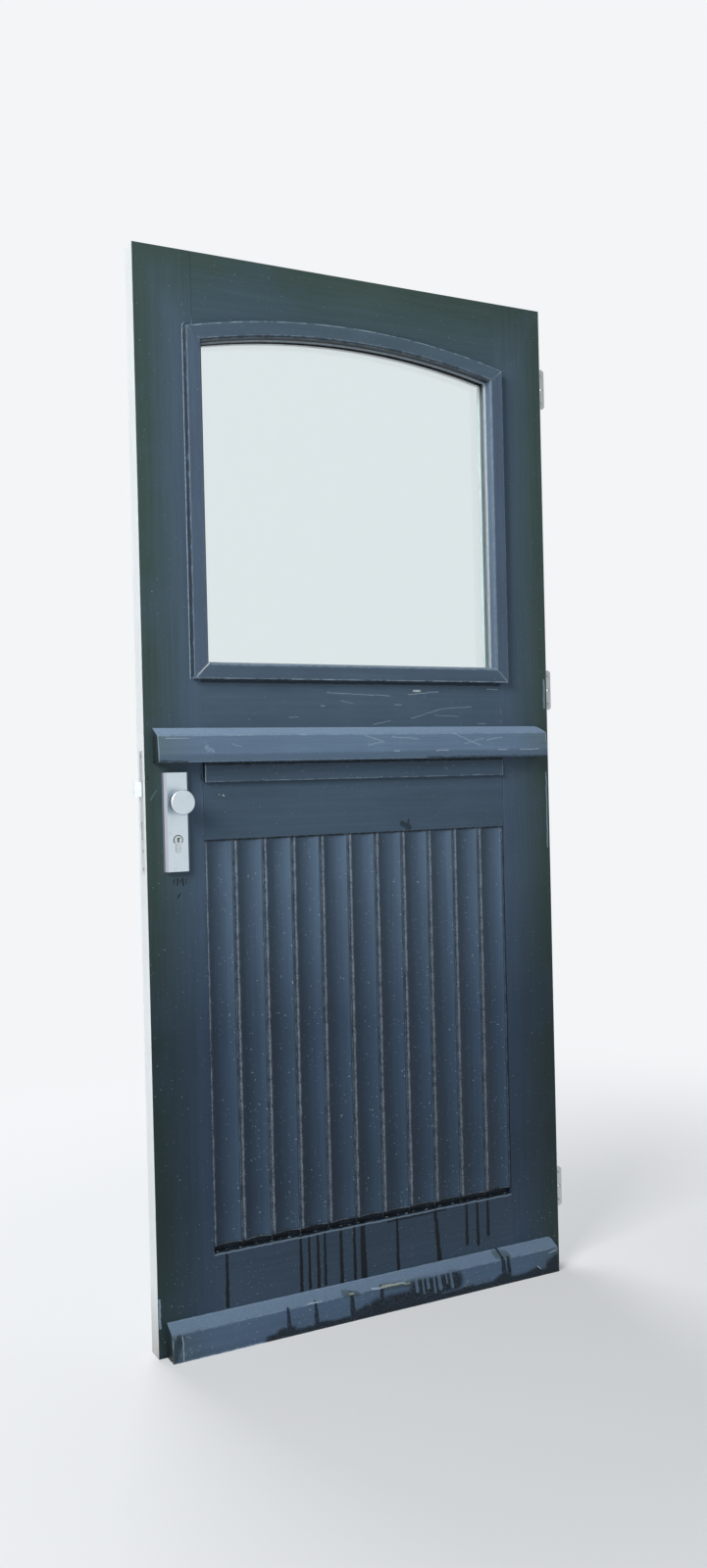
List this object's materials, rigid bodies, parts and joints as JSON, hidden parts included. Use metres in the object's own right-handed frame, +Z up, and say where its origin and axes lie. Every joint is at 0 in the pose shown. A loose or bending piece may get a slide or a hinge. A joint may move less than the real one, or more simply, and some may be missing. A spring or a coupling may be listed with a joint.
{
  "type": "stable door leaf",
  "caption": "Half-glazed timber stable-look door leaf: arched window, hollow-coved board panel, drip mouldings, pull knob, sprung lever, cylinder mortice lock and butt hinges.",
  "frame": {"origin": "on the bottom hinge's frame plate: the face that lies against the door frame, midway between its two outer screw holes", "axes": "+X along the leaf from the lock edge to the hinge edge, +Y from the outside face to the inside face and out of the hinge plates' mounting face, +Z up"},
  "size_m": [0.9895, 0.147, 2.115],
  "materials": {
    "painted_timber": "satin dark blue-grey paint over pine",
    "painted_drip": "weathered blue-grey paint over pine",
    "glass": "clear",
    "spacer_metal": "mill",
    "glazing_tape": "matte black",
    "hinge_steel": "satin",
    "lock_steel": "satin",
    "cylinder_nickel": "satin nickel",
    "satin_aluminium": "satin anodised"
  },
  "bodies": {
    "frame_plates": {"bottom_hinge_plate": "hinge_steel", "middle_hinge_plate": "hinge_steel", "top_hinge_plate": "hinge_steel", "hinge_pins": "hinge_steel"},
    "leaf": {"lock_stile": "painted_timber", "hinge_stile": "painted_timber", "bottom_rail": "painted_timber", "lock_rail": "painted_timber", "window_rail": "painted_timber", "top_rail": "painted_timber", "panel_board_01": "painted_timber", "panel_board_02": "painted_timber", "panel_board_03": "painted_timber", "panel_board_04": "painted_timber", "panel_board_05": "painted_timber", "panel_board_06": "painted_timber", "panel_board_07": "painted_timber", "panel_board_08": "painted_timber", "panel_board_09": "painted_timber", "panel_board_10": "painted_timber", "panel_board_11": "painted_timber", "window_sill_moulding": "painted_timber", "window_lock_side_moulding": "painted_timber", "window_hinge_side_moulding": "painted_timber", "window_arch_moulding": "painted_timber", "glazing_sill_bead": "painted_timber", "glazing_lock_side_bead": "painted_timber", "glazing_hinge_side_bead": "painted_timber", "glazing_arch_bead": "painted_timber", "cover_batten": "painted_timber", "middle_drip": "painted_drip", "bottom_drip": "painted_drip", "outer_pane": "glass", "inner_pane": "glass", "glazing_spacer": "spacer_metal", "glazing_tape": "glazing_tape", "bottom_hinge_leaf": "hinge_steel", "middle_hinge_leaf": "hinge_steel", "top_hinge_leaf": "hinge_steel", "hinge_screws": "hinge_steel", "lock_faceplate": "lock_steel", "faceplate_screws": "lock_steel", "cylinder_screw": "lock_steel", "lock_case": "lock_steel", "lock_cover": "lock_steel", "plate_screws": "lock_steel", "cylinder_body": "cylinder_nickel", "outside_backplate": "satin_aluminium", "inside_backplate": "satin_aluminium", "outside_knob": "satin_aluminium"},
    "lever": {"inside_lever": "satin_aluminium", "lock_spindle": "lock_steel", "lock_follower": "lock_steel"},
    "latch": {"latch_bolt": "lock_steel"},
    "bolt": {"deadbolt": "lock_steel"},
    "outside_barrel": {"outside_plug": "cylinder_nickel", "cylinder_cam": "cylinder_nickel"},
    "inside_barrel": {"inside_plug": "cylinder_nickel"}
  },
  "joints": [
    {"name": "door_swing", "type": "hinge", "parent": "frame_plates", "child": "leaf", "pos_m": [-0.033, -0.0035, 0], "axis": [0, 0, 1], "range_deg": [-90, 90]},
    {"name": "lever_turn", "type": "hinge", "parent": "leaf", "child": "lever", "pos_m": [-0.904, -0.03, 0.901], "axis": [0, 1, 0], "range_deg": [0, 40], "stiffness_Nm_per_rad": 1.2, "springref_deg": -11.46},
    {"name": "latch_slide", "type": "slide", "parent": "leaf", "child": "latch", "axis": [1, 0, 0], "range_m": [0, 0.014]},
    {"name": "deadbolt_slide", "type": "slide", "parent": "leaf", "child": "bolt", "axis": [-1, 0, 0], "range_m": [0, 0.02]},
    {"name": "outside_plug_turn", "type": "hinge", "parent": "leaf", "child": "outside_barrel", "pos_m": [-0.904, -0.03, 0.829], "axis": [0, 1, 0], "range_deg": [0, 360]},
    {"name": "inside_plug_turn", "type": "hinge", "parent": "leaf", "child": "inside_barrel", "pos_m": [-0.904, -0.03, 0.829], "axis": [0, 1, 0], "range_deg": [0, 360]}
  ],
  "couplings": [
    {"joint": "latch_slide", "follows": "lever_turn", "m_per_rad": 0.02005},
    {"joint": "outside_plug_turn", "follows": "deadbolt_slide", "rad_per_m": 314.15}
  ]
}
